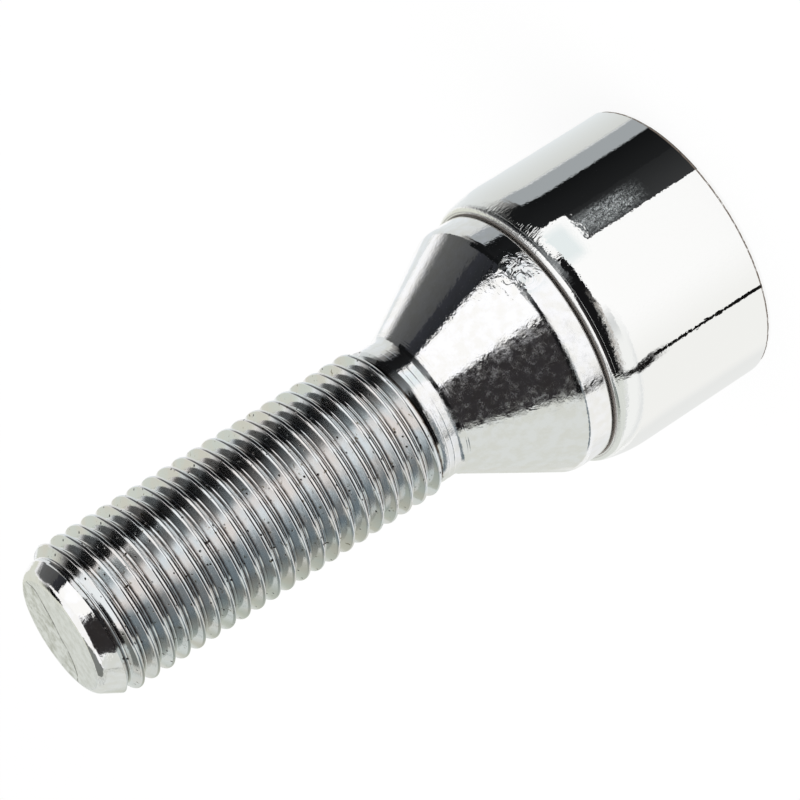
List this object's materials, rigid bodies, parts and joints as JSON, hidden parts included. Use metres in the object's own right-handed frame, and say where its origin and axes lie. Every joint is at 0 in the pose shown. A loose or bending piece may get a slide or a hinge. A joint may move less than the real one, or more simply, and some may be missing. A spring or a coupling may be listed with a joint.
{
  "type": "locking wheel bolt",
  "caption": "Locking wheel bolt: fine-thread shank, conical seat and a head inside a free-turning collar, with a coded recess in its end.",
  "frame": {"origin": "centre of the head's end face, where the bolt stands", "axes": "+Z along the bolt's axis, from the head's end face to the thread's tip"},
  "size_m": [0.0258, 0.0258, 0.0638],
  "materials": {
    "plated_bolt": "zinc-plated forged steel, bright on the seat and satin in the thread",
    "chromed_collar": "bright chrome plate on a turned steel sleeve",
    "spring_wire": "oiled spring steel"
  },
  "bodies": {
    "bolt": {"bolt": "plated_bolt"},
    "collar": {"rotating_collar": "chromed_collar", "retaining_ring": "spring_wire"}
  },
  "joints": [
    {"name": "collar_spin", "type": "hinge", "parent": "bolt", "child": "collar", "pos_m": [0, 0, 0.008], "axis": [0, 0, 1], "continuous": true}
  ]
}
